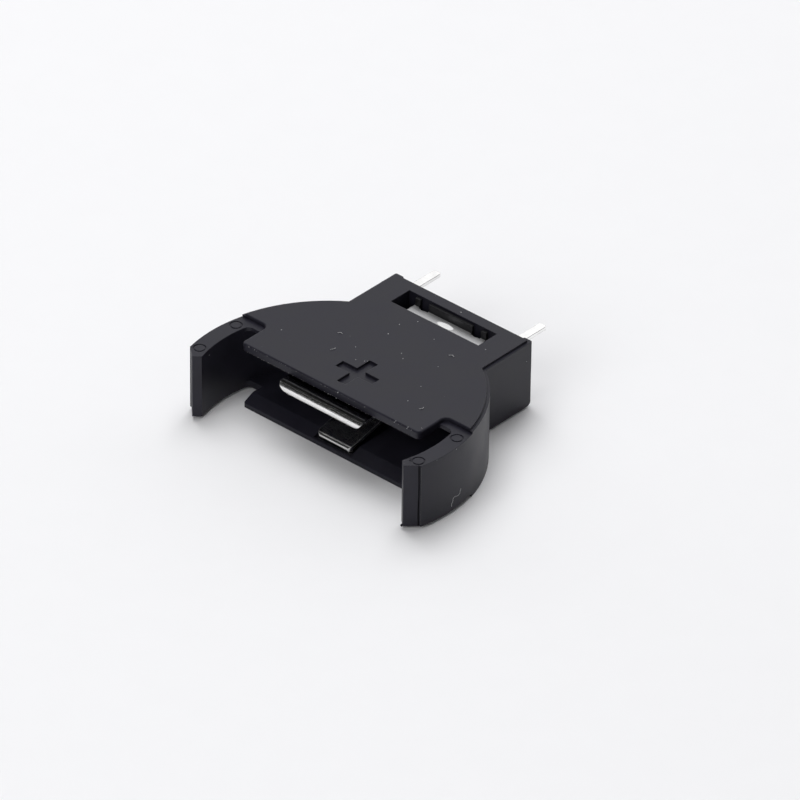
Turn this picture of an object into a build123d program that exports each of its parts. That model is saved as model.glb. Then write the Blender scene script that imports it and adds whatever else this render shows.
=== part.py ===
from build123d import *
from math import cos, radians, sin, sqrt
import os

# Through-hole holder for one round 20 mm coin cell, lying on its broad face.
# X runs across the holder, +Y from the open mouth to the solder tails, +Z through
# its thickness. The origin is on the resting face, under the centre of the cell.

# driving sizes, millimetres
cell_diameter = 20.0
cell_thickness = 3.2
cell_clearance = 0.05

# moulded housing: ring and the two plates
ring_wall = 1.35
floor_thickness = 0.8
roof_thickness = 0.6
contact_room = 1.1
edge_step_width = 0.24
edge_step_height = 0.15

# tongue of each plate, the notches beside it and the floor's lead-in for the cell
tongue_inset = 1.55
tongue_corner = 0.35
lead_in_corner = 0.12
floor_setback = 0.25
lead_in_length = 1.0
lead_in_height = 0.37
notch_back = 2.85
notch_corner = 0.5
slot_end = 2.2
slot_corner = 0.55
front_round = 0.12

# arms that grip the cell
arm_drop = 0.15
arm_lift = 0.1
tip_reach = 3.42
tip_bevel_inside = 0.45
tip_bevel_outside = 0.82
tip_rebate = 0.12
nose_share = 0.06

# rear block with its standoff feet
block_width = 13.12
block_reach = 2.7
foot_width = 0.8
foot_height = 0.3
foot_round = 0.14
foot_end_round = 0.45

# window above the upper contact
window_width = 8.4
window_length = 2.0
window_wall = 0.9

# engraved polarity mark and the ejector marks on the arms
mark_size = 3.5
mark_stroke = 0.8
mark_depth = 0.2
mark_x = 0.2
mark_y = 2.75
ejector_diameter = 1.0
ejector_depth = 0.06
ejector_rim = 0.12
ejector_angles = (-12.1, 9.1)

# contact sheet, shared by both contacts
sheet = 0.25
bend_radius = 0.1
slot_clearance = 0.03
tail_pitch = 10.16
tail_width = 0.7
tail_reach = 3.2
tail_corner = 0.2
ear_length = 1.2
ear_setback = 0.3

# upper contact: strip, rolled lip and bent flange
roof_gap = 0.15
strip_width = 6.8
strip_shoulder = 8.2
lip_width = 7.9
lip_radius = 0.5
lip_corner_width = 1.5
lip_corner_height = 0.85
lip_lead = 0.53
lip_wrap = 145.0
flange_drop = 0.2
relief_diameter = 0.9
relief_inset = 0.9
relief_reach = 0.26
relief_rise = 0.47

# lower contact: spring tongue in its channel
spring_width = 3.2
spring_corner = 0.35
spring_root = 9.0
spring_peak = 4.4
spring_lift = 1.05
spring_nose = 0.45
spring_nose_lift = 0.18
spring_tab = 0.3
spring_tab_lean = 0.1
spring_nose_radius = 0.03
spring_root_radius = 4.0
spring_peak_radius = 2.0
channel_clearance = 0.2
channel_floor = 0.3
bar_thickness = 0.14

# how far cutters run past the faces that they open, and the selectors' tolerance
overrun = 0.5
near = 0.01

# derived sizes
pocket_radius = cell_diameter / 2 + cell_clearance
outer_radius = pocket_radius + ring_wall
plate_radius = outer_radius - edge_step_width
wall_middle = pocket_radius + ring_wall / 2
total_height = floor_thickness + cell_thickness + contact_room + roof_thickness
roof_underside = total_height - roof_thickness
block_back = outer_radius + block_reach
pad_width = block_width - 2 * edge_step_width
tongue_half = pocket_radius - tongue_inset
window_back = block_back - window_wall
window_front = window_back - window_length

upper_top = roof_underside - roof_gap
upper_bottom = upper_top - sheet
tail_x = tail_pitch / 2
tail_slot = tail_width + 2 * slot_clearance
ear_front = window_front + ear_setback
ear_back = ear_front + ear_length
tail_tip = block_back + tail_reach
channel_width = spring_width + 2 * channel_clearance
channel_front = floor_setback + bar_thickness


def on_circle(radius, y, hand):
    """Point at height y on one side, +1 or -1, of a circle about the cell's centre."""
    return (hand * sqrt(radius**2 - y**2), y)


def ring_with_arms():
    """Wall round the cell: a ring open at the mouth, ending in two bevelled noses."""
    with BuildLine() as wall:
        tips = []
        for hand in (1, -1):
            inner_tip = on_circle(pocket_radius, tip_bevel_inside - tip_reach, hand)
            nose = (hand * (pocket_radius + nose_share * ring_wall), -tip_reach)
            rebate = on_circle(outer_radius - tip_rebate, tip_bevel_outside - tip_reach, hand)
            outer_tip = on_circle(outer_radius, tip_bevel_outside - tip_reach, hand)
            Polyline(inner_tip, nose, rebate, outer_tip)
            tips.append((inner_tip, outer_tip))
        ThreePointArc(tips[0][1], (0, outer_radius), tips[1][1])
        ThreePointArc(tips[0][0], (0, pocket_radius), tips[1][0])
    make_face(wall.edges())


def block_behind_ring(width):
    """Rear block, from the middle of the ring wall to its rear face."""
    with BuildLine() as block:
        left = on_circle(wall_middle, sqrt(wall_middle**2 - (width / 2) ** 2), -1)
        right = (-left[0], left[1])
        ThreePointArc(left, (0, wall_middle), right)
        Polyline(right, (width / 2, block_back), (-width / 2, block_back), left)
    make_face(block.edges())


def disc_behind(radius, front):
    """Disc that is cut off straight in front of a given line."""
    Circle(radius)
    with Locations((0, front)):
        Rectangle(
            2 * outer_radius,
            outer_radius + front,
            align=(Align.CENTER, Align.MAX),
            mode=Mode.SUBTRACT,
        )


def web_outline(outline):
    """Ring, arms and block joined across the middle, with a slot inside each arm."""
    disc_behind(wall_middle, slot_end)
    ring_with_arms()
    block_behind_ring(block_width)
    slot_corner_x = on_circle(pocket_radius, slot_end, 1)[0]
    slot_ends = outline.vertices().filter_by(
        lambda v: abs(abs(v.X) - slot_corner_x) < near and abs(v.Y - slot_end) < near
    )
    fillet(slot_ends, radius=slot_corner)


def plate_face(outline, front, corner):
    """Outline of a plate's raised face, with a tongue that reaches forward between two notches."""
    disc_behind(plate_radius, notch_back)
    with Locations((0, front)):
        Rectangle(pad_width, block_back - front, align=(Align.CENTER, Align.MIN))
        Rectangle(2 * tongue_half, notch_back + ring_wall, align=(Align.CENTER, Align.MIN))
    notch_corners = outline.vertices().filter_by(
        lambda v: abs(abs(v.X) - tongue_half) < near and abs(v.Y - notch_back) < near
    )
    fillet(notch_corners, radius=notch_corner)
    front_corners = outline.vertices().filter_by(
        lambda v: abs(abs(v.X) - tongue_half) < near and abs(v.Y - front) < near
    )
    fillet(front_corners, radius=corner)


# housing: one black moulding
with BuildPart() as housing:
    # ring and arms: solid across the floor, hollow round the cell, solid across the roof
    with BuildSketch(Plane.XY.offset(edge_step_height + arm_lift)) as floor_web:
        web_outline(floor_web)
    extrude(amount=floor_thickness - edge_step_height - arm_lift)
    with BuildSketch(Plane.XY.offset(floor_thickness)):
        ring_with_arms()
        block_behind_ring(block_width)
    extrude(amount=roof_underside - floor_thickness)
    with BuildSketch(Plane.XY.offset(roof_underside)) as roof_web:
        web_outline(roof_web)
    extrude(amount=roof_thickness - edge_step_height - arm_drop)

    # foot of the ring and of the block, below the arms
    with BuildSketch(Plane.XY):
        disc_behind(outer_radius, notch_back)
    extrude(amount=edge_step_height + arm_lift)
    with BuildSketch(Plane.XY.offset(edge_step_height)):
        block_behind_ring(block_width)
    extrude(amount=arm_lift)

    # rim of the ring and of the block, a step below the raised face and above the arms
    with BuildSketch(Plane.XY.offset(total_height - edge_step_height - arm_drop)):
        disc_behind(outer_radius, notch_back)
        block_behind_ring(block_width)
    extrude(amount=arm_drop)

    # raised faces of both plates
    with BuildSketch(Plane.XY) as floor_face:
        plate_face(floor_face, floor_setback, lead_in_corner)
    extrude(amount=floor_thickness)
    with BuildSketch(Plane.XY.offset(roof_underside)) as roof_face:
        plate_face(roof_face, 0, tongue_corner)
    extrude(amount=roof_thickness)

    # lead-in that slopes up the front of the floor's tongue
    with BuildSketch(Plane.YZ):
        with BuildLine():
            Polyline(
                (floor_setback, lead_in_height),
                (floor_setback + lead_in_length, floor_thickness),
                (floor_setback, floor_thickness),
                close=True,
            )
        make_face()
    extrude(amount=tongue_half, both=True, mode=Mode.SUBTRACT)

    # soften the upper front edge of the roof's tongue
    front = housing.faces().filter_by(Axis.Y).filter_by(lambda f: abs(f.center().Y) < near)[0]
    fillet(front.edges().filter_by(Axis.X).sort_by(Axis.Z)[-1], radius=front_round)

    # standoff feet at both ends of the rear face, rounded where they end
    with BuildSketch(Plane.XY.offset(edge_step_height)) as feet_outline:
        foot_x = (block_width - foot_width) / 2
        with Locations((-foot_x, block_back + foot_height), (foot_x, block_back + foot_height)):
            Rectangle(foot_width, 2 * foot_height, align=(Align.CENTER, Align.MAX))
        fillet(feet_outline.vertices().group_by(Axis.Y)[-1], radius=foot_round)
    extrude(amount=total_height - 2 * edge_step_height)
    with BuildSketch(Plane.YZ):
        rear = block_back + foot_height
        with Locations((rear, edge_step_height)):
            Rectangle(foot_end_round, foot_end_round, align=(Align.MAX, Align.MIN))
        with Locations((rear - foot_end_round, edge_step_height + foot_end_round)):
            Circle(foot_end_round, mode=Mode.SUBTRACT)
    extrude(amount=block_width, both=True, mode=Mode.SUBTRACT)

    # window through the roof, down to the floor
    with BuildSketch(Plane.XY.offset(floor_thickness)):
        with Locations((0, window_back)):
            Rectangle(window_width, window_length, align=(Align.CENTER, Align.MAX))
    extrude(amount=total_height, mode=Mode.SUBTRACT)

    # slots for the upper contact: its strip, its ear and both solder tails
    with BuildSketch(Plane.XY.offset(upper_bottom)):
        with Locations((0, strip_shoulder)):
            Rectangle(
                strip_width + 2 * slot_clearance,
                window_back - strip_shoulder,
                align=(Align.CENTER, Align.MIN),
            )
        with Locations((0, ear_front - slot_clearance)):
            Rectangle(
                tail_x + tail_slot / 2,
                ear_length + 2 * slot_clearance,
                align=(Align.MIN, Align.MIN),
            )
        with Locations((-tail_x, ear_back - sheet), (tail_x, ear_back - sheet)):
            Rectangle(tail_slot, block_back, align=(Align.CENTER, Align.MIN))
    extrude(amount=sheet + slot_clearance, mode=Mode.SUBTRACT)

    # channel for the lower contact in the floor, with its ear and riser slots
    with BuildSketch(Plane.XY.offset(channel_floor)):
        with Locations((0, channel_front)):
            Rectangle(
                channel_width,
                ear_back + slot_clearance - channel_front,
                align=(Align.CENTER, Align.MIN),
            )
    extrude(amount=floor_thickness - channel_floor, mode=Mode.SUBTRACT)
    with BuildSketch(Plane.XY.offset(channel_floor)):
        with Locations((0, ear_front - slot_clearance)):
            Rectangle(
                tail_x + tail_slot / 2,
                ear_length + 2 * slot_clearance,
                align=(Align.MAX, Align.MIN),
            )
    extrude(amount=sheet + slot_clearance, mode=Mode.SUBTRACT)
    with BuildSketch(Plane.XY.offset(channel_floor)):
        with Locations((-tail_x, ear_back + bend_radius + slot_clearance)):
            Rectangle(
                tail_slot,
                sheet + 2 * (bend_radius + slot_clearance),
                align=(Align.CENTER, Align.MAX),
            )
    extrude(amount=upper_top - channel_floor, mode=Mode.SUBTRACT)

    # polarity mark
    with BuildSketch(Plane.XY.offset(total_height)):
        with Locations((mark_x, mark_y)):
            Rectangle(mark_size, mark_stroke)
            Rectangle(mark_stroke, mark_size)
    extrude(amount=-mark_depth, mode=Mode.SUBTRACT)

    # ejector marks: a shallow ring at each end of both arms
    with BuildSketch(Plane.XY.offset(total_height - edge_step_height - arm_drop)):
        for angle in ejector_angles:
            mark_place = (wall_middle * cos(radians(angle)), wall_middle * sin(radians(angle)))
            with Locations(mark_place, (-mark_place[0], mark_place[1])):
                Circle(ejector_diameter / 2)
                Circle(ejector_diameter / 2 - ejector_rim, mode=Mode.SUBTRACT)
    extrude(amount=-ejector_depth, mode=Mode.SUBTRACT)

housing.part.label = "housing"

# upper contact: strip, rolled lip, rear flange and its solder tail
lip_centre = (-lip_lead, upper_top - lip_radius)
lip_edge = lip_centre[1] + lip_radius * cos(radians(lip_wrap))
flange_bend = (window_back - sheet - bend_radius, upper_top + bend_radius)
flange_top = total_height - flange_drop
relief_x = strip_width / 2 - relief_inset
relief_y = window_back - sheet - relief_reach + relief_diameter / 2
relief_z = upper_top + relief_rise - relief_diameter / 2
with BuildPart() as positive_contact:
    # side profile of the folded sheet
    with BuildSketch(Plane.YZ):
        with BuildLine():
            Line((lip_centre[0], upper_top), (flange_bend[0], upper_top))
            CenterArc(flange_bend, bend_radius, -90, 90)
            Polyline(
                (window_back - sheet, flange_bend[1]),
                (window_back - sheet, flange_top),
                (window_back, flange_top),
                (window_back, flange_bend[1]),
            )
            CenterArc(flange_bend, bend_radius + sheet, -90, 90)
            Line((flange_bend[0], upper_bottom), (lip_centre[0], upper_bottom))
            roll_inside = CenterArc(lip_centre, lip_radius - sheet, 90, lip_wrap)
            roll_outside = CenterArc(lip_centre, lip_radius, 90, lip_wrap)
            Line(roll_inside @ 1, roll_outside @ 1)
        make_face()
    extrude(amount=lip_width / 2, both=True)

    # waist behind the shoulders, where the strip enters the block
    with BuildSketch(Plane.XY):
        for side in (-1, 1):
            with Locations((side * (strip_width + lip_width) / 2, strip_shoulder)):
                Rectangle(lip_width, block_back, align=(Align.CENTER, Align.MIN))
    extrude(amount=total_height, mode=Mode.SUBTRACT)

    # rounded corners of the lip's free edge
    with BuildSketch(Plane.XZ.offset(lip_lead)):
        for side in (-1, 1):
            with Locations((side * lip_width / 2, lip_edge)):
                Rectangle(2 * lip_corner_width, 2 * lip_corner_height)
        for side in (-1, 1):
            corner_x = lip_width / 2 - lip_corner_width
            with Locations((side * corner_x, lip_edge + lip_corner_height)):
                Ellipse(lip_corner_width, lip_corner_height, mode=Mode.SUBTRACT)
    extrude(amount=lip_radius, mode=Mode.SUBTRACT)

    # relief holes at both ends of the flange's fold
    with BuildSketch(Plane.XY):
        with Locations((-relief_x, relief_y), (relief_x, relief_y)):
            Circle(relief_diameter / 2)
    extrude(amount=total_height, mode=Mode.SUBTRACT)
    with BuildSketch(Plane.XZ.offset(-window_back)):
        with Locations((-relief_x, relief_z), (relief_x, relief_z)):
            Circle(relief_diameter / 2)
    extrude(amount=relief_diameter / 2, mode=Mode.SUBTRACT)

    # ear at the +X side, and the solder tail that leaves through the rear face
    with BuildSketch(Plane.XY.offset(upper_bottom)) as upper_tail:
        with Locations((strip_width / 2 - sheet, ear_front)):
            Rectangle(
                tail_x + tail_width / 2 - strip_width / 2 + sheet,
                ear_length,
                align=(Align.MIN, Align.MIN),
            )
        with Locations((tail_x, ear_front)):
            Rectangle(tail_width, tail_tip - ear_front, align=(Align.CENTER, Align.MIN))
        fillet(upper_tail.vertices().group_by(Axis.Y)[-1], radius=tail_corner)
    extrude(amount=sheet)

positive_contact.part.label = "positive_contact"

# lower contact: spring tongue, riser and its solder tail
spring_bottom = channel_floor
peak_bottom = floor_thickness + spring_lift - sheet
nose_bottom = floor_thickness + spring_nose_lift - sheet
with BuildPart() as negative_contact:
    # spring tongue, seen from the side, from the block forward to its turned-down nose
    with BuildSketch(Plane.YZ):
        with BuildLine():
            FilletPolyline(
                (ear_back, spring_bottom),
                (spring_root, spring_bottom),
                (spring_peak, peak_bottom),
                (spring_nose + sheet, nose_bottom),
                (spring_nose + sheet + spring_tab_lean, nose_bottom - spring_tab),
                radius=[spring_root_radius, spring_peak_radius, spring_nose_radius],
            )
            offset(amount=sheet, side=Side.RIGHT)
        make_face()
    extrude(amount=spring_width / 2, both=True)
    with BuildSketch(Plane.XY) as spring_outline:
        Rectangle(spring_width, ear_back, align=(Align.CENTER, Align.MIN))
        Rectangle(
            spring_width,
            2 * spring_nose,
            align=(Align.CENTER, Align.CENTER),
            mode=Mode.SUBTRACT,
        )
        fillet(spring_outline.vertices().group_by(Axis.Y)[0], radius=spring_corner)
    extrude(amount=total_height, mode=Mode.INTERSECT)

    # ear at the -X side
    with BuildSketch(Plane.XY.offset(spring_bottom)):
        with Locations((0, ear_front)):
            Rectangle(
                tail_x + tail_width / 2,
                ear_length - sheet - bend_radius,
                align=(Align.MAX, Align.MIN),
            )
    extrude(amount=sheet)

    # riser and solder tail, one folded strip
    with BuildSketch(Plane.YZ.offset(-tail_x)):
        with BuildLine():
            FilletPolyline(
                (ear_front, spring_bottom),
                (ear_back, spring_bottom),
                (ear_back, upper_bottom),
                (tail_tip, upper_bottom),
                radius=[bend_radius + sheet, bend_radius],
            )
            offset(amount=sheet, side=Side.LEFT)
        make_face()
    extrude(amount=tail_width / 2, both=True)
    tip = negative_contact.faces().sort_by(Axis.Y)[-1]
    fillet(tip.edges().filter_by(Axis.Z), radius=tail_corner)

negative_contact.part.label = "negative_contact"

# one file for each piece
os.makedirs("parts", exist_ok=True)
export_step(housing.part, "parts/housing.step")
export_step(positive_contact.part, "parts/positive_contact.step")
export_step(negative_contact.part, "parts/negative_contact.step")
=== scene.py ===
import math

import bmesh
import bpy
from bpy.props import FloatProperty, FloatVectorProperty, IntProperty, PointerProperty
from mathutils import Matrix, Vector


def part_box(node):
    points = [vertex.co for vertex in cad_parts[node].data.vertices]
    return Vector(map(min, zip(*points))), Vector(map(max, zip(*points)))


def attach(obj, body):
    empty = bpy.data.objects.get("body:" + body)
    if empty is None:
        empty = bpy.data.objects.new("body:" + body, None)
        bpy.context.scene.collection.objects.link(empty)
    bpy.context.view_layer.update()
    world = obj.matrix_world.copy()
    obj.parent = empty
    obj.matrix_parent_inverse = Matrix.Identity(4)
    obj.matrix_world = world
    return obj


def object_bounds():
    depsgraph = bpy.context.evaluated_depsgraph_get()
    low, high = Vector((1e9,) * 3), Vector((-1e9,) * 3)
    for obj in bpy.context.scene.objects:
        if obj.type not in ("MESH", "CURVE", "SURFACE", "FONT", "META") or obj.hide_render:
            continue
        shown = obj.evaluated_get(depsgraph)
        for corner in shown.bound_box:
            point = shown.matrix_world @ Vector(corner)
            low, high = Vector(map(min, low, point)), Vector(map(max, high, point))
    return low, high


bl_info = {
    "name": "Coin Cell Holder Finish",
    "version": (1, 0, 0),
    "blender": (4, 5, 0),
    "location": "3D View > Sidebar > Cell Holder",
    "description": "Dresses a coin cell holder: moulding, plated contacts, flash, dust and stage",
    "category": "Object",
}

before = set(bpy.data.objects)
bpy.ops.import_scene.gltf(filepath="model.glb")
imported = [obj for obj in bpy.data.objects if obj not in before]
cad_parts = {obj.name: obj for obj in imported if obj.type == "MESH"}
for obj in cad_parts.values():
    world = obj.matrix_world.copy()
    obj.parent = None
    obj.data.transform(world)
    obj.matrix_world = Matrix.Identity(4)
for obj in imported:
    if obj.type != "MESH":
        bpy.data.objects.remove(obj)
cad_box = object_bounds()

MM = 0.001
BODY = "root"

housing_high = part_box("housing")[1]


class MouldingSettings(bpy.types.PropertyGroup):
    """Finish of the black moulded housing."""

    colour: FloatVectorProperty(
        name="Colour",
        description="Black of the filled plastic",
        subtype="COLOR",
        size=3,
        min=0.0,
        max=1.0,
        default=(0.016, 0.0155, 0.023),
    )
    scuff_colour: FloatVectorProperty(
        name="Scuff colour",
        description="Grey that the plastic turns where an edge is rubbed",
        subtype="COLOR",
        size=3,
        min=0.0,
        max=1.0,
        default=(0.1, 0.1, 0.105),
    )
    roughness: FloatProperty(
        name="Roughness", description="Gloss of the moulded skin", min=0.0, max=1.0, default=0.42
    )
    edge_round: FloatProperty(
        name="Edge round",
        description="Radius of the moulded edges",
        subtype="DISTANCE",
        unit="LENGTH",
        min=0.0,
        default=0.05 * MM,
    )
    grain_size: FloatProperty(
        name="Grain size",
        description="Spacing of the eroded mould texture",
        subtype="DISTANCE",
        unit="LENGTH",
        min=0.001 * MM,
        default=0.07 * MM,
    )
    grain_depth: FloatProperty(
        name="Grain depth",
        description="Height of the eroded mould texture",
        subtype="DISTANCE",
        unit="LENGTH",
        min=0.0,
        default=0.002 * MM,
    )


class SheetSettings(bpy.types.PropertyGroup):
    """Finish of both plated contacts."""

    colour: FloatVectorProperty(
        name="Plating colour",
        description="Tint of the bright plating",
        subtype="COLOR",
        size=3,
        min=0.0,
        max=1.0,
        default=(0.93, 0.925, 0.915),
    )
    roughness: FloatProperty(
        name="Roughness", description="Gloss of the plating", min=0.0, max=1.0, default=0.25
    )
    edge_round: FloatProperty(
        name="Edge round",
        description="Radius of the stamped sheet's edges",
        subtype="DISTANCE",
        unit="LENGTH",
        min=0.0,
        default=0.08 * MM,
    )
    mottle_size: FloatProperty(
        name="Mottle size",
        description="Spacing of the plating's orange peel",
        subtype="DISTANCE",
        unit="LENGTH",
        min=0.001 * MM,
        default=0.09 * MM,
    )


class DustSettings(bpy.types.PropertyGroup):
    """Dust and lint that lie on the moulding, and crumbs of flash at its edges."""

    colour: FloatVectorProperty(
        name="Dust colour",
        description="Pale grey of the dust",
        subtype="COLOR",
        size=3,
        min=0.0,
        max=1.0,
        default=(0.55, 0.55, 0.56),
    )
    per_area: FloatProperty(
        name="Flakes per square metre",
        description="How thickly the small flakes lie",
        min=0.0,
        default=70000.0,
    )
    flake_size: FloatProperty(
        name="Flake size",
        description="Width of the largest small flake",
        subtype="DISTANCE",
        unit="LENGTH",
        min=0.0,
        default=0.06 * MM,
    )
    fibre_radius: FloatProperty(
        name="Fibre radius",
        description="Radius of a hair or fibre",
        subtype="DISTANCE",
        unit="LENGTH",
        min=0.0,
        default=0.02 * MM,
    )
    crumb_size: FloatProperty(
        name="Crumb size",
        description="Width of the largest crumb at an edge",
        subtype="DISTANCE",
        unit="LENGTH",
        min=0.0,
        default=0.14 * MM,
    )
    seed: IntProperty(name="Seed", description="Seed of the scatter", default=7)


class StageSettings(bpy.types.PropertyGroup):
    """Floor, light and camera."""

    floor_colour: FloatVectorProperty(
        name="Floor colour",
        description="Pale sweep under the holder",
        subtype="COLOR",
        size=3,
        min=0.0,
        max=1.0,
        default=(0.9, 0.9, 0.915),
    )
    floor_radius: FloatProperty(
        name="Floor radius",
        description="How far the floor runs",
        subtype="DISTANCE",
        unit="LENGTH",
        default=4.0,
    )
    tent_light: FloatProperty(
        name="Tent light", description="Strength of the bright backdrop", min=0.0, default=1.12
    )
    room_light: FloatProperty(
        name="Room light", description="Strength of the dark room in front", min=0.0, default=0.03
    )
    card_light: FloatProperty(
        name="Card light",
        description="Strength of the pale card on the right",
        min=0.0,
        default=0.18,
    )
    key_power: FloatProperty(
        name="Key power",
        description="Power of the large softbox",
        unit="POWER",
        min=0.0,
        default=3.1,
    )
    fill_power: FloatProperty(
        name="Fill power",
        description="Power of the front softbox",
        unit="POWER",
        min=0.0,
        default=1.4,
    )
    azimuth: FloatProperty(
        name="Azimuth",
        description="Camera's angle round the holder",
        subtype="ANGLE",
        unit="ROTATION",
        default=math.radians(41.45),
    )
    elevation: FloatProperty(
        name="Elevation",
        description="Camera's angle above the floor",
        subtype="ANGLE",
        unit="ROTATION",
        default=math.radians(34.08),
    )
    roll: FloatProperty(
        name="Roll",
        description="Camera's turn about its own axis",
        subtype="ANGLE",
        unit="ROTATION",
        default=math.radians(0.78),
    )
    distance: FloatProperty(
        name="Distance",
        description="From the camera to the point that it looks at",
        subtype="DISTANCE",
        unit="LENGTH",
        default=596.57 * MM,
    )
    lens: FloatProperty(
        name="Lens", description="Focal length on a 36 mm sensor", unit="CAMERA", default=376.16
    )
    aim: FloatVectorProperty(
        name="Aim",
        description="Point at the middle of the picture",
        subtype="TRANSLATION",
        unit="LENGTH",
        size=3,
        default=(1.955 * MM, 5.369 * MM, 2.85 * MM),
    )


def remake(name):
    """Removes an object that an earlier run of its operator left."""
    old = bpy.data.objects.get(name)
    if old is not None:
        bpy.data.objects.remove(old, do_unlink=True)


def add_object(name, data):
    """Links a new object at the origin."""
    obj = bpy.data.objects.new(name, data)
    bpy.context.scene.collection.objects.link(obj)
    return obj


class NodeSheet:
    """Adds and joins nodes in one node tree."""

    def __init__(self, tree):
        self.tree = tree
        self.tree.nodes.clear()

    def add(self, kind, inputs=None, **settings):
        node = self.tree.nodes.new(kind)
        for key, value in settings.items():
            setattr(node, key, value)
        for key, value in (inputs or {}).items():
            self.feed(node.inputs[key], value)
        return node

    def feed(self, socket, value):
        if isinstance(value, bpy.types.NodeSocket):
            self.tree.links.new(value, socket)
        else:
            socket.default_value = value

    def maths(self, operation, first, second, clamp=False):
        node = self.add("ShaderNodeMath", operation=operation, use_clamp=clamp)
        self.feed(node.inputs[0], first)
        self.feed(node.inputs[1], second)
        return node.outputs[0]

    def mix(self, factor, first, second):
        inputs = {"Factor": factor, "A": first, "B": second}
        return self.add("ShaderNodeMix", inputs, data_type="RGBA").outputs["Result"]


def built_once(name):
    """Gives a group's builder its name, and keeps one copy that all materials share."""

    def named(build):
        return lambda: bpy.data.node_groups.get(name) or build(name)

    return named


def shader_group(name, inputs, outputs):
    """New shader node group with named sockets; gives its sheet, its input and its output node."""
    tree = bpy.data.node_groups.new(name, "ShaderNodeTree")
    for label, kind, default in inputs:
        socket = tree.interface.new_socket(label, in_out="INPUT", socket_type=kind)
        socket.default_value = default
    for label, kind in outputs:
        tree.interface.new_socket(label, in_out="OUTPUT", socket_type=kind)
    sheet = NodeSheet(tree)
    return sheet, sheet.add("NodeGroupInput"), sheet.add("NodeGroupOutput")


def tone(colour, share=1.0):
    """Opaque colour, taken at a share of its strength."""
    return (*[share * part for part in colour], 1.0)


def ramp(sheet, value, low, high, bottom=0.0, top=1.0):
    """Maps low to high onto bottom to top, clamped and smooth."""
    node = sheet.add(
        "ShaderNodeMapRange",
        {"Value": value, "From Min": low, "From Max": high, "To Min": bottom, "To Max": top},
        interpolation_type="SMOOTHSTEP",
    )
    return node.outputs["Result"]


def noise(sheet, vector, scale, detail=2.0, roughness=0.5):
    """Noise value of a given scale."""
    node = sheet.add(
        "ShaderNodeTexNoise",
        {"Vector": vector, "Scale": scale, "Detail": detail, "Roughness": roughness},
    )
    return node.outputs["Fac"]


@built_once("rounded edge")
def build_rounded_edge(name):
    """Group: a normal that rounds every edge, and a mask of the edges that stand proud."""
    sheet, entry, result = shader_group(
        name,
        [("Radius", "NodeSocketFloat", 0.06 * MM), ("Reach", "NodeSocketFloat", 0.35)],
        [("Normal", "NodeSocketVector"), ("Edge", "NodeSocketFloat")],
    )
    bevel = sheet.add("ShaderNodeBevel", {"Radius": entry.outputs["Radius"]}, samples=6)
    surface = sheet.add("ShaderNodeNewGeometry")
    turned = sheet.add(
        "ShaderNodeVectorMath",
        {0: bevel.outputs["Normal"], 1: surface.outputs["True Normal"]},
        operation="DOT_PRODUCT",
    )
    turn = sheet.maths("SUBTRACT", 1.0, turned.outputs["Value"])
    edge = sheet.maths("DIVIDE", turn, entry.outputs["Reach"], clamp=True)
    sheet.feed(result.inputs["Normal"], bevel.outputs["Normal"])
    sheet.feed(result.inputs["Edge"], edge)
    return sheet.tree


@built_once("mould grain")
def build_mould_grain(name):
    """Group: height of an eroded mould texture, with slow waves from uneven flow."""
    sheet, entry, result = shader_group(
        name,
        [("Size", "NodeSocketFloat", 0.07 * MM)],
        [("Height", "NodeSocketFloat"), ("Flow", "NodeSocketFloat")],
    )
    place = sheet.add("ShaderNodeTexCoord").outputs["Object"]
    pitch = sheet.maths("DIVIDE", 1.0, entry.outputs["Size"])
    fine = noise(sheet, place, pitch, detail=3.0, roughness=0.6)
    coarse = noise(sheet, place, sheet.maths("MULTIPLY", pitch, 0.22), detail=2.0)
    fine_part = sheet.maths("MULTIPLY", fine, 0.85)
    coarse_part = sheet.maths("MULTIPLY", coarse, 0.15)
    height = sheet.maths("ADD", fine_part, coarse_part)
    flow = noise(sheet, place, sheet.maths("MULTIPLY", pitch, 0.03), detail=3.0, roughness=0.55)
    sheet.feed(result.inputs["Height"], height)
    sheet.feed(result.inputs["Flow"], flow)
    return sheet.tree


@built_once("fine dust")
def build_fine_dust(name):
    """Group: mask of dust too fine to be a flake, thicker on faces that look up."""
    sheet, entry, result = shader_group(
        name,
        [("Spacing", "NodeSocketFloat", 0.55 * MM), ("Speck", "NodeSocketFloat", 0.07)],
        [("Mask", "NodeSocketFloat")],
    )
    place = sheet.add("ShaderNodeTexCoord").outputs["Object"]
    pitch = sheet.maths("DIVIDE", 1.0, entry.outputs["Spacing"])
    cells = sheet.add(
        "ShaderNodeTexVoronoi", {"Vector": place, "Scale": pitch, "Randomness": 1.0}, feature="F1"
    )
    size = sheet.maths("MULTIPLY", entry.outputs["Speck"], noise(sheet, place, pitch))
    speck = sheet.maths("LESS_THAN", cells.outputs["Distance"], size)
    clumps = ramp(sheet, noise(sheet, place, sheet.maths("MULTIPLY", pitch, 0.2)), 0.48, 0.62)
    normal = sheet.add("ShaderNodeNewGeometry").outputs["Normal"]
    upward = sheet.add("ShaderNodeSeparateXYZ", {"Vector": normal}).outputs["Z"]
    lies = ramp(sheet, upward, 0.3, 0.95)
    mask = sheet.maths("MULTIPLY", sheet.maths("MULTIPLY", speck, clumps), lies)
    sheet.feed(result.inputs["Mask"], mask)
    return sheet.tree


def group_node(sheet, tree, inputs=None):
    """Places a shader group in a material."""
    node = sheet.add("ShaderNodeGroup", node_tree=tree)
    for key, value in (inputs or {}).items():
        sheet.feed(node.inputs[key], value)
    return node


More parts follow.
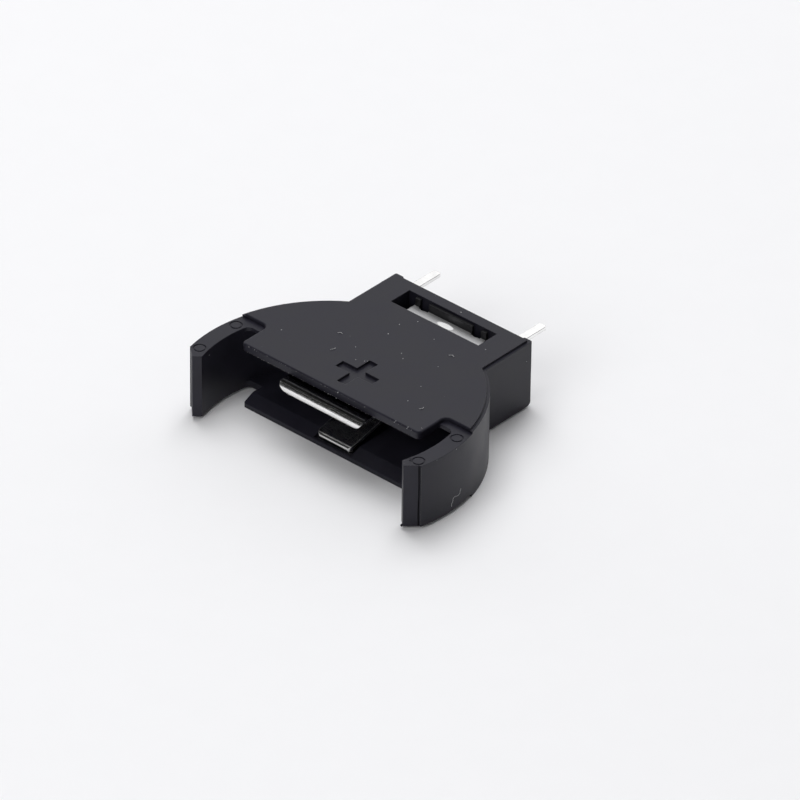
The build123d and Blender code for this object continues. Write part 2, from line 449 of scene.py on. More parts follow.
def new_material(name):
    """Material with a bare Principled node; an older one is built anew and stays on its pieces."""
    material = bpy.data.materials.get(name) or bpy.data.materials.new(name)
    material.use_nodes = True
    sheet = NodeSheet(material.node_tree)
    principled = sheet.add("ShaderNodeBsdfPrincipled")
    output = sheet.add("ShaderNodeOutputMaterial", {"Surface": principled.outputs["BSDF"]})
    output.target = "ALL"
    return material, sheet, principled


def moulding_material(settings):
    """Black filled plastic: satin grain, rubbed edges and a film of fine dust."""
    material, sheet, principled = new_material("black moulding")
    edge = group_node(sheet, build_rounded_edge(), {"Radius": settings.edge_round, "Reach": 0.3})
    grain = group_node(sheet, build_mould_grain(), {"Size": settings.grain_size})
    dust = group_node(sheet, build_fine_dust())
    place = sheet.add("ShaderNodeTexCoord").outputs["Object"]

    flow = grain.outputs["Flow"]
    chipped = noise(sheet, place, 1.0 / (0.22 * MM), detail=4.0, roughness=0.7)
    broken = sheet.maths("MULTIPLY", ramp(sheet, chipped, 0.52, 0.66), 0.7)
    scuff = sheet.maths("MULTIPLY", edge.outputs["Edge"], broken)
    film = sheet.maths("MULTIPLY", dust.outputs["Mask"], 0.09)
    light_and_dark = tone(settings.colour, 0.9), tone(settings.colour, 1.12)
    body = sheet.mix(ramp(sheet, flow, 0.35, 0.65), *light_and_dark)
    paled = sheet.mix(scuff, body, tone(settings.scuff_colour))
    sheet.feed(principled.inputs["Base Color"], sheet.mix(film, paled, (0.4, 0.4, 0.41, 1.0)))
    smoothest, roughest = settings.roughness - 0.03, settings.roughness + 0.04
    sheet.feed(principled.inputs["Roughness"], ramp(sheet, flow, 0.3, 0.7, smoothest, roughest))
    principled.inputs["IOR"].default_value = 1.5
    principled.inputs["Specular IOR Level"].default_value = 0.28
    bump = sheet.add(
        "ShaderNodeBump",
        {
            "Strength": 0.1,
            "Distance": settings.grain_depth,
            "Height": grain.outputs["Height"],
            "Normal": edge.outputs["Normal"],
        },
    )
    sheet.feed(principled.inputs["Normal"], bump.outputs["Normal"])
    return material


@built_once("dulled plating")
def build_dull_plating_and_painted_light(name):
    """Group: masks of the upper sheet's dull end, and of painted light: painted shade on the
    flange and the lip's crest, and a painted highlight spot.
    """
    sheet, entry, result = shader_group(
        name,
        [
            ("Dull from", "NodeSocketFloat", 12.08 * MM),
            ("Fold at", "NodeSocketFloat", 12.87 * MM),
            ("Dull to", "NodeSocketFloat", 13.35 * MM),
            ("Lip to", "NodeSocketFloat", 1.5 * MM),
            ("Crest from", "NodeSocketFloat", 4.84 * MM),
            ("Crest at", "NodeSocketFloat", 4.9 * MM),
            ("Highlight spot", "NodeSocketVector", (0.05 * MM, 12.33 * MM, 4.95 * MM)),
            ("Spot half size", "NodeSocketVector", (0.76 * MM, 0.28 * MM, 0.2 * MM)),
        ],
        [
            ("Dull", "NodeSocketFloat"),
            ("Flange shade", "NodeSocketFloat"),
            ("Crest shade", "NodeSocketFloat"),
            ("Highlight spot", "NodeSocketFloat"),
        ],
    )
    place = sheet.add("ShaderNodeTexCoord").outputs["Object"]
    axes = sheet.add("ShaderNodeSeparateXYZ", {"Vector": place})
    waver = sheet.maths("MULTIPLY", noise(sheet, place, 1.0 / (0.5 * MM)), 0.12 * MM)
    along = sheet.maths("ADD", axes.outputs["Y"], waver)
    inside = sheet.maths("LESS_THAN", along, entry.outputs["Dull to"])
    beyond = sheet.maths("GREATER_THAN", along, entry.outputs["Dull from"])
    # The bent flange gets dark painted shade, where it stands in shade.
    bent = sheet.maths("GREATER_THAN", axes.outputs["Y"], entry.outputs["Fold at"])
    # An oval on the strip becomes a painted highlight.
    offset = sheet.add(
        "ShaderNodeVectorMath", {0: place, 1: entry.outputs["Highlight spot"]}, operation="SUBTRACT"
    )
    share = sheet.add(
        "ShaderNodeVectorMath",
        {0: offset.outputs["Vector"], 1: entry.outputs["Spot half size"]},
        operation="DIVIDE",
    )
    reach = sheet.add(
        "ShaderNodeVectorMath", {0: share.outputs["Vector"]}, operation="LENGTH"
    ).outputs["Value"]
    # The lip's crest under the roof gets dark painted shade, which hides its bright reflection.
    ahead = sheet.maths("LESS_THAN", axes.outputs["Y"], entry.outputs["Lip to"])
    high = ramp(sheet, axes.outputs["Z"], entry.outputs["Crest from"], entry.outputs["Crest at"])
    sheet.feed(result.inputs["Dull"], sheet.maths("MULTIPLY", beyond, inside))
    sheet.feed(result.inputs["Flange shade"], sheet.maths("MULTIPLY", bent, inside))
    sheet.feed(result.inputs["Crest shade"], sheet.maths("MULTIPLY", high, ahead))
    sheet.feed(result.inputs["Highlight spot"], ramp(sheet, reach, 1.05, 0.9))
    return sheet.tree


def sheet_material(name, settings, shade, gloss, dull_and_painted_light=False):
    """Bright plated sheet: orange peel, drawn lines along the roll and softened edges, with
    painted shade along the tails' edges; on request also painted shade on the flange and the lip's
    crest and a painted highlight spot.
    """
    material, sheet, principled = new_material(name)
    edge = group_node(sheet, build_rounded_edge(), {"Radius": settings.edge_round, "Reach": 0.5})
    place = sheet.add("ShaderNodeTexCoord").outputs["Object"]
    pitch = 1.0 / settings.mottle_size
    peel = noise(sheet, place, pitch, detail=3.0, roughness=0.6)
    drawn = sheet.add(
        "ShaderNodeMapping", {"Vector": place, "Scale": (0.06, 1.0, 1.0)}, vector_type="POINT"
    )
    lines = noise(sheet, drawn.outputs["Vector"], 2.0 * pitch, detail=2.0)
    clouds = ramp(sheet, noise(sheet, place, 0.12 * pitch, detail=3.0), 0.35, 0.7)
    plating = tone(settings.colour, shade), tone(settings.colour, 0.93 * shade)
    base = gloss * settings.roughness
    rough = ramp(sheet, lines, 0.3, 0.75, base - 0.03, base + 0.05)
    back = sheet.add("ShaderNodeSeparateXYZ", {"Vector": place}).outputs["Y"]
    tail = ramp(sheet, back, 13.3 * MM, 13.6 * MM)
    polish = sheet.maths("SUBTRACT", 1.0, sheet.maths("MULTIPLY", tail, 0.7))
    rough = sheet.maths("MULTIPLY", rough, polish)
    # Painted shade: the tails' edges are painted dark, standing in for their shaded edges.
    painted_edge_shade = sheet.maths("MULTIPLY", edge.outputs["Edge"], tail)
    colour = sheet.mix(painted_edge_shade, sheet.mix(clouds, *plating), (0.16, 0.145, 0.135, 1.0))
    if dull_and_painted_light:
        masks = group_node(sheet, build_dull_plating_and_painted_light())
        # The flange and the lip's crest get dark painted shade and the oval spot a white painted
        # highlight; the dull end is a duller finish.
        for mask, shown in (
            ("Dull", (0.72, 0.72, 0.73)),
            ("Flange shade", (0.07, 0.07, 0.074)),
            ("Crest shade", (0.1, 0.1, 0.105)),
            ("Highlight spot", (1.0, 1.0, 1.0)),
        ):
            colour = sheet.mix(masks.outputs[mask], colour, tone(shown))
        rough = sheet.maths("ADD", rough, sheet.maths("MULTIPLY", masks.outputs["Dull"], 0.15))
        dull = sheet.maths("MULTIPLY", masks.outputs["Dull"], 0.22)
        # The oval spot also loses most of its metal, so that its white painted highlight reads
        # bright under the lamps.
        painted_highlight = sheet.maths("MULTIPLY", masks.outputs["Highlight spot"], 0.9)
        film = sheet.maths("MAXIMUM", dull, painted_highlight)
    else:
        ahead = ramp(sheet, back, 9.0 * MM, 11.0 * MM, 0.7, 0.0)
        film = sheet.maths("MULTIPLY", edge.outputs["Edge"], ahead)
        rough = sheet.maths("ADD", rough, sheet.maths("MULTIPLY", film, 0.4))
    sheet.feed(principled.inputs["Base Color"], colour)
    sheet.feed(principled.inputs["Roughness"], rough)
    sheet.feed(principled.inputs["Metallic"], sheet.maths("SUBTRACT", 1.0, film))
    peel_part = sheet.maths("MULTIPLY", peel, 0.6)
    height = sheet.maths("ADD", peel_part, sheet.maths("MULTIPLY", lines, 0.4))
    bump = sheet.add(
        "ShaderNodeBump",
        {
            "Strength": 0.35,
            "Distance": 0.003 * MM,
            "Height": height,
            "Normal": edge.outputs["Normal"],
        },
    )
    sheet.feed(principled.inputs["Normal"], bump.outputs["Normal"])
    return material


def dust_material(settings):
    """Pale matt dust and lint."""
    material, sheet, principled = new_material("pale dust")
    place = sheet.add("ShaderNodeTexCoord").outputs["Object"]
    mottle = noise(sheet, place, 1.0 / (0.04 * MM), detail=2.0)
    shades = tone(settings.colour, 0.6), tone(settings.colour)
    sheet.feed(principled.inputs["Base Color"], sheet.mix(ramp(sheet, mottle, 0.3, 0.7), *shades))
    principled.inputs["Roughness"].default_value = 0.85
    return material


def crumb_material(name, pale):
    """Whitened plastic of a torn edge; on the burr at the right nose its pale tint is painted
    highlight for the lit face of the step.
    """
    material, sheet, principled = new_material(name)
    place = sheet.add("ShaderNodeTexCoord").outputs["Object"]
    torn = ramp(sheet, noise(sheet, place, 1.0 / (0.12 * MM), detail=2.0), 0.35, 0.65)
    tint = sheet.mix(torn, (0.03, 0.03, 0.034, 1.0), tone(pale))
    sheet.feed(principled.inputs["Base Color"], tint)
    principled.inputs["Roughness"].default_value = 0.6
    return material


def groove_shade_material():
    """Matt black painted shade: a dark strip that fills the groove beside a nose, where the
    groove's shadow falls.
    """
    material, sheet, principled = new_material("groove shade")
    place = sheet.add("ShaderNodeTexCoord").outputs["Object"]
    mottle = noise(sheet, place, 1.0 / (0.2 * MM), detail=2.0)
    tint = sheet.mix(mottle, (0.001, 0.001, 0.0012, 1.0), (0.006, 0.006, 0.007, 1.0))
    sheet.feed(principled.inputs["Base Color"], tint)
    principled.inputs["Roughness"].default_value = 0.9
    principled.inputs["Specular IOR Level"].default_value = 0.1
    return material


def floor_material(settings):
    """Matt pale sweep."""
    material, sheet, principled = new_material("pale sweep")
    place = sheet.add("ShaderNodeTexCoord").outputs["Object"]
    clouds = noise(sheet, place, 1.0 / (3.0 * MM), detail=3.0)
    shades = tone(settings.floor_colour, 0.995), tone(settings.floor_colour)
    sheet.feed(principled.inputs["Base Color"], sheet.mix(ramp(sheet, clouds, 0.3, 0.7), *shades))
    principled.inputs["Roughness"].default_value = 0.9
    principled.inputs["Specular IOR Level"].default_value = 0.1
    return material


def geometry_tree(name, inputs):
    """New geometry tree with named inputs; gives its sheet, its input and its output node."""
    # an older tree can go, because grow() leaves plain meshes
    old = bpy.data.node_groups.get(name)
    if old is not None:
        bpy.data.node_groups.remove(old)
    tree = bpy.data.node_groups.new(name, "GeometryNodeTree")
    tree.interface.new_socket("Geometry", in_out="INPUT", socket_type="NodeSocketGeometry")
    for label, kind in inputs:
        tree.interface.new_socket(label, in_out="INPUT", socket_type=kind)
    tree.interface.new_socket("Geometry", in_out="OUTPUT", socket_type="NodeSocketGeometry")
    sheet = NodeSheet(tree)
    return sheet, sheet.add("NodeGroupInput"), sheet.add("NodeGroupOutput")


def end_tree(sheet, entry, result, geometry):
    """Ends a geometry tree: real geometry, in its material."""
    real = sheet.add("GeometryNodeRealizeInstances", {"Geometry": geometry})
    dressed = sheet.add(
        "GeometryNodeSetMaterial",
        {"Geometry": real.outputs["Geometry"], "Material": entry.outputs["Material"]},
    )
    sheet.feed(result.inputs["Geometry"], dressed.outputs["Geometry"])
    return sheet.tree


def build_scatter():
    """Tree: small flattened flakes of many sizes, strewn over the faces that it is given."""
    sheet, entry, result = geometry_tree(
        "strewn flakes",
        [
            ("Per area", "NodeSocketFloat"),
            ("Size", "NodeSocketFloat"),
            ("Smallest", "NodeSocketFloat"),
            ("Flatness", "NodeSocketFloat"),
            ("Seed", "NodeSocketInt"),
            ("Material", "NodeSocketMaterial"),
        ],
    )
    place = sheet.add("GeometryNodeInputPosition").outputs["Position"]
    clumps = ramp(sheet, noise(sheet, place, 1.0 / (2.5 * MM), detail=2.0), 0.35, 0.65, 0.1, 1.0)
    points = sheet.add(
        "GeometryNodeDistributePointsOnFaces",
        {
            "Mesh": entry.outputs["Geometry"],
            "Density": sheet.maths("MULTIPLY", entry.outputs["Per area"], clumps),
            "Seed": entry.outputs["Seed"],
        },
        distribute_method="RANDOM",
    )
    flakes = strew(sheet, entry, points.outputs["Points"], points.outputs["Rotation"])
    return end_tree(sheet, entry, result, flakes)


def build_crumbs():
    """Tree: crumbs here and there along every line, and one on every lone point."""
    sheet, entry, result = geometry_tree(
        "crumbs",
        [
            ("Spacing", "NodeSocketFloat"),
            ("Chance", "NodeSocketFloat"),
            ("Stray", "NodeSocketFloat"),
            ("Size", "NodeSocketFloat"),
            ("Smallest", "NodeSocketFloat"),
            ("Flatness", "NodeSocketFloat"),
            ("Seed", "NodeSocketInt"),
            ("Material", "NodeSocketMaterial"),
        ],
    )
    line = sheet.add("GeometryNodeMeshToCurve", {"Mesh": entry.outputs["Geometry"]})
    along = sheet.add(
        "GeometryNodeCurveToPoints",
        {"Curve": line.outputs["Curve"], "Length": entry.outputs["Spacing"]},
        mode="LENGTH",
    )
    lone = sheet.add("GeometryNodeMeshToPoints", {"Mesh": entry.outputs["Geometry"]})
    every = sheet.add("GeometryNodeJoinGeometry")
    for points in (along.outputs["Points"], lone.outputs["Points"]):
        sheet.tree.links.new(points, every.inputs["Geometry"])
    way = sheet.add(
        "FunctionNodeRandomValue",
        {"Min": (-1.0, -1.0, -1.0), "Max": (1.0, 1.0, 1.0), "Seed": entry.outputs["Seed"]},
        data_type="FLOAT_VECTOR",
    )
    stray = sheet.add(
        "ShaderNodeVectorMath",
        {0: way.outputs["Value"], "Scale": entry.outputs["Stray"]},
        operation="SCALE",
    )
    moved = sheet.add(
        "GeometryNodeSetPosition",
        {"Geometry": every.outputs["Geometry"], "Offset": stray.outputs["Vector"]},
    )
    kept = sheet.add(
        "FunctionNodeRandomValue",
        {"Probability": entry.outputs["Chance"], "Seed": entry.outputs["Seed"]},
        data_type="BOOLEAN",
    )
    crumbs = strew(sheet, entry, moved.outputs["Geometry"], None, kept.outputs["Value"])
    return end_tree(sheet, entry, result, crumbs)


def strew(sheet, entry, points, rotation, kept=True):
    """Small uneven flakes on points, most of them near the smallest size."""
    ball = sheet.add("GeometryNodeMeshIcoSphere", {"Radius": 0.5, "Subdivisions": 2})
    place = sheet.add("GeometryNodeInputPosition").outputs["Position"]
    lumps = sheet.add(
        "ShaderNodeTexNoise", {"Vector": place, "Scale": 2.2, "Detail": 1.0}
    ).outputs["Fac"]
    swell = sheet.add(
        "ShaderNodeVectorMath",
        {0: place, "Scale": sheet.maths("MULTIPLY", sheet.maths("SUBTRACT", lumps, 0.5), 1.6)},
        operation="SCALE",
    )
    lump = sheet.add(
        "GeometryNodeSetPosition",
        {"Geometry": ball.outputs["Mesh"], "Offset": swell.outputs["Vector"]},
    )
    share = sheet.add(
        "FunctionNodeRandomValue", {"Seed": entry.outputs["Seed"]}, data_type="FLOAT"
    ).outputs["Value"]
    least = entry.outputs["Smallest"]
    range_left = sheet.maths("SUBTRACT", 1.0, least)
    spread = sheet.maths("MULTIPLY", range_left, sheet.maths("POWER", share, 4.0))
    size = sheet.maths("MULTIPLY", entry.outputs["Size"], sheet.maths("ADD", least, spread))
    stretch = sheet.add(
        "FunctionNodeRandomValue",
        {"Min": (0.6, 0.6, 0.6), "Max": (1.5, 1.0, 1.0), "Seed": entry.outputs["Seed"]},
        data_type="FLOAT_VECTOR",
    )
    flat = sheet.add("ShaderNodeCombineXYZ", {"X": 1.0, "Y": 1.0, "Z": entry.outputs["Flatness"]})
    shape = sheet.add(
        "ShaderNodeVectorMath",
        {0: stretch.outputs["Value"], 1: flat.outputs["Vector"]},
        operation="MULTIPLY",
    )
    scale = sheet.add(
        "ShaderNodeVectorMath", {0: shape.outputs["Vector"], "Scale": size}, operation="SCALE"
    )
    turn = sheet.add(
        "FunctionNodeRandomValue",
        {"Min": (0.0, 0.0, 0.0), "Max": (0.3, 0.3, 6.28), "Seed": entry.outputs["Seed"]},
        data_type="FLOAT_VECTOR",
    ).outputs["Value"]
    if rotation is not None:
        turn = sheet.add(
            "FunctionNodeRotateRotation",
            {"Rotation": rotation, "Rotate By": turn},
            rotation_space="LOCAL",
        ).outputs["Rotation"]
    flakes = sheet.add(
        "GeometryNodeInstanceOnPoints",
        {
            "Points": points,
            "Selection": kept,
            "Instance": lump.outputs["Geometry"],
            "Rotation": turn,
            "Scale": scale.outputs["Vector"],
        },
    )
    return flakes.outputs["Instances"]


def build_lint():
    """Tree: a round fibre of even radius along every line that it is given."""
    sheet, entry, result = geometry_tree(
        "lint", [("Radius", "NodeSocketFloat"), ("Material", "NodeSocketMaterial")]
    )
    line = sheet.add("GeometryNodeMeshToCurve", {"Mesh": entry.outputs["Geometry"]})
    smooth = sheet.add(
        "GeometryNodeCurveSplineType", {"Curve": line.outputs["Curve"]}, spline_type="CATMULL_ROM"
    )
    finer = sheet.add(
        "GeometryNodeSetSplineResolution", {"Geometry": smooth.outputs["Curve"], "Resolution": 5}
    )
    ring = sheet.add(
        "GeometryNodeCurvePrimitiveCircle", {"Resolution": 7, "Radius": entry.outputs["Radius"]}
    )
    fibre = sheet.add(
        "GeometryNodeCurveToMesh",
        {
            "Curve": finer.outputs["Geometry"],
            "Profile Curve": ring.outputs["Curve"],
            "Fill Caps": True,
        },
    )
    return end_tree(sheet, entry, result, fibre.outputs["Mesh"])


def grow(name, carrier, tree, inputs):
    """Runs a geometry tree on a carrier mesh and leaves a plain mesh piece that rides the body."""
    remake(name)
    obj = add_object(name, carrier)
    modifier = obj.modifiers.new(name, "NODES")
    modifier.node_group = tree
    for item in tree.interface.items_tree:
        if item.in_out == "INPUT" and item.name in inputs:
            modifier[item.identifier] = inputs[item.name]
    bpy.context.view_layer.update()
    ready = obj.evaluated_get(bpy.context.evaluated_depsgraph_get())
    plain = bpy.data.meshes.new_from_object(ready)
    obj.modifiers.remove(modifier)
    obj.data = plain
    bpy.data.meshes.remove(carrier)
    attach(obj, BODY)
    return obj


def upward_faces(node_name, lowest, shrink):
    """Copies a node's level faces above a height, kept back from their outer edges."""
    shape = bmesh.new()
    shape.from_mesh(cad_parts[node_name].data)
    shape.transform(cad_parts[node_name].matrix_world)
    spare = [
        face
        for face in shape.faces
        if face.normal.z < 0.99 or face.calc_center_median().z < lowest
    ]
    bmesh.ops.delete(shape, geom=spare, context="FACES")
    for vert in shape.verts:
        vert.co.x *= 1.0 - shrink
        vert.co.y *= 1.0 - shrink
    mesh = bpy.data.meshes.new("carrier")
    shape.to_mesh(mesh)
    shape.free()
    return mesh


def line_mesh(lines):
    """Mesh of open lines through lists of points in millimetres."""
    mesh = bpy.data.meshes.new("lines")
    verts, edges = [], []
    for line in lines:
        start = len(verts)
        verts += [Vector(point) * MM for point in line]
        edges += [(start + k, start + k + 1) for k in range(len(line) - 1)]
    mesh.from_pydata(verts, edges, [])
    return mesh


def finish_node(node_name, material):
    """Gives every slot of a CAD node its finished material."""
    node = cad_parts[node_name]
    for slot in node.material_slots:
        slot.material = material


class CELLHOLDER_OT_housing(bpy.types.Operator):
    """Gives the black moulding its satin, dusty finish"""

    bl_idname = "cellholder.housing"
    bl_label = "Finish Housing"

    def execute(self, context):
        finish_node("housing", moulding_material(context.scene.cell_moulding))
        return {"FINISHED"}


class CELLHOLDER_OT_contacts(bpy.types.Operator):
    """Plates the upper and the lower contact"""

    bl_idname = "cellholder.contacts"
    bl_label = "Plate Contacts"

    def execute(self, context):
        settings = context.scene.cell_sheet
        upper = sheet_material("upper plating", settings, 1.0, 1.0, dull_and_painted_light=True)
        # The lower contact's plating is a little darker (0.96): painted shade for its place under
        # the roof.
        lower = sheet_material("lower plating", settings, 0.96, 0.6)
        finish_node("positive_contact", upper)
        finish_node("negative_contact", lower)
        return {"FINISHED"}


class CELLHOLDER_OT_dust(bpy.types.Operator):
    """Strews fine flakes of dust over the faces that look up"""

    bl_idname = "cellholder.dust"
    bl_label = "Strew Dust"

    def execute(self, context):
        settings = context.scene.cell_dust
        carrier = upward_faces("housing", housing_high.z - 0.7 * MM, 0.004)
        inputs = {
            "Per area": settings.per_area,
            "Size": settings.flake_size,
            "Smallest": 0.25,
            "Flatness": 0.3,
            "Seed": settings.seed,
            "Material": dust_material(settings),
        }
        grow("dust_flakes", carrier, build_scatter(), inputs)
        return {"FINISHED"}


class CELLHOLDER_OT_specks(bpy.types.Operator):
    """Lays the larger specks of dust on the roof and the walls"""

    bl_idname = "cellholder.specks"
    bl_label = "Lay Specks"

    def execute(self, context):
        settings = context.scene.cell_dust
        top = housing_high.z / MM
        roof = [
            (-1.0, 3.89), (-2.1, 5.1), (-7.46, 3.11), (-1.74, 9.38), (-1.52, 7.93), (-0.4, 4.16),
            (-0.25, 4.3), (1.36, 9.65), (1.38, 6.27), (0.86, 6.7), (3.9, 7.21), (4.68, 4.5),
            (5.23, 2.52), (4.93, 11.16), (-1.01, 10.56), (6.29, 0.04), (7.43, 0.06), (8.21, 0.63),
            (0.42, 13.55), (0.47, 13.58),
        ]
        walls = [
            (6.6, 13.74, 4.17), (-9.83, -1.92, 4.92), (11.32, -1.25, 5.37), (11.37, 0.75, 5.32),
        ]
        inputs = {
            "Spacing": 1.0,
            "Chance": 1.0,
            "Stray": 0.0,
            "Size": 1.5 * settings.flake_size,
            "Smallest": 0.75,
            "Flatness": 0.45,
            "Seed": settings.seed,
            "Material": dust_material(settings),
        }
        places = [(x, y, top) for x, y in roof] + walls
        grow("specks", line_mesh([[place] for place in places]), build_crumbs(), inputs)
        return {"FINISHED"}


class CELLHOLDER_OT_crumbs(bpy.types.Operator):
    """Leaves pale crumbs where the roof's front edge and the right arm's nose were trimmed"""

    bl_idname = "cellholder.crumbs"
    bl_label = "Leave Crumbs"

    def execute(self, context):
        settings = context.scene.cell_dust
        lines = [
            [(-7.9, 0.0, 5.12), (7.9, 0.0, 5.12)],
            [(-7.8, 0.03, 5.61), (7.8, 0.03, 5.61)],
            [(10.1, -3.38, 5.4), (11.0, -2.62, 5.4)],
            [(9.75, -2.95, 5.4), (10.1, -3.32, 5.4)],
        ]
        inputs = {
            "Spacing": 0.2 * MM,
            "Chance": 0.75,
            "Stray": 0.025 * MM,
            "Size": settings.crumb_size,
            "Smallest": 0.35,
            "Flatness": 0.7,
            "Seed": settings.seed + 2,
            "Material": crumb_material("torn plastic", [0.6 * c for c in settings.colour]),
        }
        grow("edge_crumbs", line_mesh(lines), build_crumbs(), inputs)
        return {"FINISHED"}


class CELLHOLDER_OT_flash(bpy.types.Operator):
    """Adds the moulding's flash: nubs at both noses, and at the right a burr whose pale tint is
    painted highlight and a black strip of painted shade in the groove
    """

    bl_idname = "cellholder.flash"
    bl_label = "Add Flash"

    def execute(self, context):
        settings = context.scene.cell_dust
        material = bpy.data.materials.get("black moulding")
        if material is None:
            material = moulding_material(context.scene.cell_moulding)
        nubs = [
            (9.97, -3.38, 0.22), (10.05, -3.36, 0.34), (-9.75, -3.0, 0.3),
            (10.02, -2.62, 5.4), (9.9, -2.45, 5.4),
        ]
        inputs = {
            "Spacing": 1.0,
            "Chance": 1.0,
            "Stray": 0.0,
            "Size": 1.6 * settings.crumb_size,
            "Smallest": 0.7,
            "Flatness": 0.8,
            "Seed": settings.seed + 5,
            "Material": material,
        }
        grow("flash_nubs", line_mesh([[nub] for nub in nubs]), build_crumbs(), inputs)
        # Painted shade: a black strip along the groove's shadowed corner.
        groove = [
            (10.93, -2.68, 0.3), (10.92, -2.69, 1.5), (10.94, -2.67, 3.0), (10.93, -2.68, 5.36),
        ]
        inputs = {"Radius": 0.04 * MM, "Material": groove_shade_material()}
        grow("groove_shade", line_mesh([groove]), build_lint(), inputs)
        # A thin ridge of flash; its pale tint is painted highlight, standing in for the lit face
        # of the step beside the groove.
        burr = [(11.08, -2.6, 0.4), (11.085, -2.61, 1.7), (11.08, -2.6, 3.2), (11.085, -2.61, 5.3)]
        paled = crumb_material("burr highlight", (0.05, 0.05, 0.053))
        inputs = {"Radius": 0.022 * MM, "Material": paled}
        grow("flash_burr", line_mesh([burr]), build_lint(), inputs)
        return {"FINISHED"}


class CELLHOLDER_OT_lint(bpy.types.Operator):
    """Lays a few short fibres on the roof and one hair on the right arm"""

    bl_idname = "cellholder.lint"
    bl_label = "Lay Lint"

    def execute(self, context):
        settings = context.scene.cell_dust
        top = housing_high.z / MM + 0.01
        fibres = [
            [(-4.25, 5.55, top), (-4.1, 5.7, top + 0.02), (-3.9, 5.7, top)],
            [(-3.2, 3.6, top), (-3.05, 3.8, top + 0.02), (-3.05, 4.0, top)],
            [(3.5, 8.8, top), (3.7, 8.95, top + 0.02), (3.9, 8.9, top)],
            [(6.5, 2.3, top), (6.65, 2.45, top + 0.02), (6.6, 2.65, top)],
        ]
        hair = [
            self.on_arm(6.95, 1.62),
            self.on_arm(6.45, 1.42),
            self.on_arm(6.3, 1.28),
            self.on_arm(5.0, 1.2),
            self.on_arm(3.3, 1.3),
            self.on_arm(2.4, 1.2),
            self.on_arm(2.15, 0.96),
            self.on_arm(1.6, 0.86),
            self.on_arm(1.7, 0.62),
        ]
        inputs = {"Radius": settings.fibre_radius, "Material": dust_material(settings)}
        grow("lint", line_mesh([*fibres, hair]), build_lint(), inputs)
        return {"FINISHED"}

    def on_arm(self, degrees, height):
        """Point on the outer wall of the right arm, in millimetres."""
        radius = housing_high.x / MM + 0.005
        turn = math.radians(degrees)
        return (radius * math.cos(turn), radius * math.sin(turn), height)


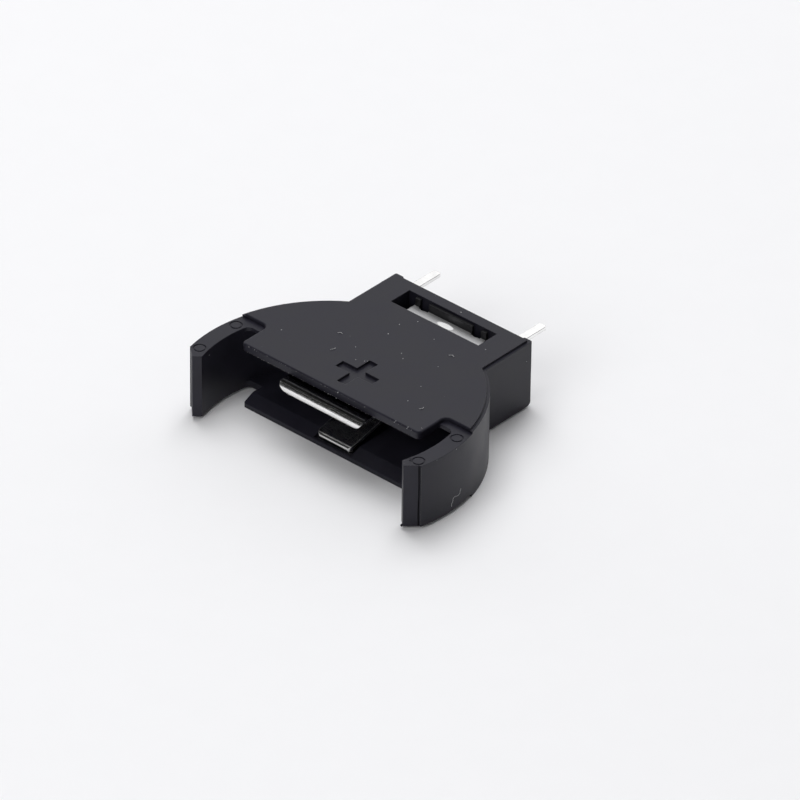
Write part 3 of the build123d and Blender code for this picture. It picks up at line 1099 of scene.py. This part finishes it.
class CELLHOLDER_OT_stage(bpy.types.Operator):
    """Sets the pale floor, the soft lights and the camera"""

    bl_idname = "cellholder.stage"
    bl_label = "Set Stage"

    def execute(self, context):
        settings = context.scene.cell_stage
        self.lay_floor(settings)
        self.hang_lights(context.scene, settings)
        self.place_camera(context.scene, settings)
        context.scene.view_settings.view_transform = "Standard"
        return {"FINISHED"}

    def lay_floor(self, settings):
        remake("floor")
        mesh = bpy.data.meshes.new("floor")
        shape = bmesh.new()
        bmesh.ops.create_circle(shape, cap_ends=True, segments=64, radius=settings.floor_radius)
        shape.to_mesh(mesh)
        shape.free()
        mesh.transform(Matrix.Translation((0.0, 0.0, cad_box[0][2])))
        mesh.materials.append(floor_material(settings))
        add_object("floor", mesh)

    def hang_lights(self, scene, settings):
        world = bpy.data.worlds.new("light tent")
        world.use_nodes = True
        sheet = NodeSheet(world.node_tree)
        way = sheet.add("ShaderNodeTexCoord").outputs["Generated"]
        behind = sheet.add(
            "ShaderNodeVectorMath", {0: way, 1: (-0.4, 0.75, -0.65)}, operation="DOT_PRODUCT"
        )
        backdrop = ramp(
            sheet, behind.outputs["Value"], -0.12, 0.32, settings.room_light, settings.tent_light
        )
        beside = sheet.add(
            "ShaderNodeVectorMath", {0: way, 1: (0.7, -0.65, 0.3)}, operation="DOT_PRODUCT"
        )
        card = ramp(sheet, beside.outputs["Value"], 0.3, 0.85, 0.0, settings.card_light)
        strength = sheet.maths("MAXIMUM", backdrop, card)
        tent = sheet.add(
            "ShaderNodeBackground", {"Color": (1.0, 1.0, 1.01, 1.0), "Strength": strength}
        )
        sheet.add("ShaderNodeOutputWorld", {"Surface": tent.outputs["Background"]})
        scene.world = world
        self.softbox("key softbox", (-0.17, 0.16, 0.58), 0.5, settings.key_power)
        self.softbox("fill softbox", (0.02, -0.5, 0.35), 0.4, settings.fill_power)

    def softbox(self, name, place, width, power):
        remake(name)
        lamp = bpy.data.lights.new(name, "AREA")
        lamp.shape = "SQUARE"
        lamp.size = width
        lamp.energy = power
        light = add_object(name, lamp)
        light.visible_glossy = False
        turn = (-Vector(place)).to_track_quat("-Z", "Y").to_matrix().to_4x4()
        light.matrix_world = Matrix.Translation(place) @ turn

    def place_camera(self, scene, settings):
        remake("camera")
        lens = bpy.data.cameras.new("camera")
        lens.sensor_width = 36.0
        lens.lens = settings.lens
        lens.clip_start = 0.01
        lens.clip_end = 20.0
        camera = add_object("camera", lens)
        azimuth, elevation = settings.azimuth, settings.elevation
        back = Vector(
            (
                math.cos(elevation) * math.sin(azimuth),
                -math.cos(elevation) * math.cos(azimuth),
                math.sin(elevation),
            )
        )
        right = Vector((math.cos(azimuth), math.sin(azimuth), 0.0))
        turn = Matrix((right, back.cross(right), back)).transposed()
        turn = turn @ Matrix.Rotation(settings.roll, 3, "Z")
        place = Vector(settings.aim) + settings.distance * back
        camera.matrix_world = Matrix.Translation(place) @ turn.to_4x4()
        scene.camera = camera


class CELLHOLDER_PT_panel(bpy.types.Panel):
    """Lists the steps and the sizes that can be changed"""

    bl_idname = "CELLHOLDER_PT_panel"
    bl_label = "Cell Holder"
    bl_space_type = "VIEW_3D"
    bl_region_type = "UI"
    bl_category = "Cell Holder"

    def draw(self, context):
        layout = self.layout
        for name in STEPS:
            layout.operator("cellholder." + name)
        for name in SETTINGS:
            box = layout.box()
            settings = getattr(context.scene, name)
            for key in settings.__annotations__:
                box.prop(settings, key)


STEPS = ("housing", "contacts", "dust", "specks", "crumbs", "flash", "lint", "stage")
SETTINGS = {
    "cell_moulding": MouldingSettings,
    "cell_sheet": SheetSettings,
    "cell_dust": DustSettings,
    "cell_stage": StageSettings,
}
CLASSES = (
    *SETTINGS.values(),
    CELLHOLDER_OT_housing,
    CELLHOLDER_OT_contacts,
    CELLHOLDER_OT_dust,
    CELLHOLDER_OT_specks,
    CELLHOLDER_OT_crumbs,
    CELLHOLDER_OT_flash,
    CELLHOLDER_OT_lint,
    CELLHOLDER_OT_stage,
    CELLHOLDER_PT_panel,
)


def register():
    for cls in CLASSES:
        bpy.utils.register_class(cls)
    for name, cls in SETTINGS.items():
        setattr(bpy.types.Scene, name, PointerProperty(type=cls))


def unregister():
    for name in SETTINGS:
        delattr(bpy.types.Scene, name)
    for cls in reversed(CLASSES):
        bpy.utils.unregister_class(cls)


def main():
    register()
    for name in STEPS:
        getattr(bpy.ops.cellholder, name)()


if __name__ == "__main__":
    main()
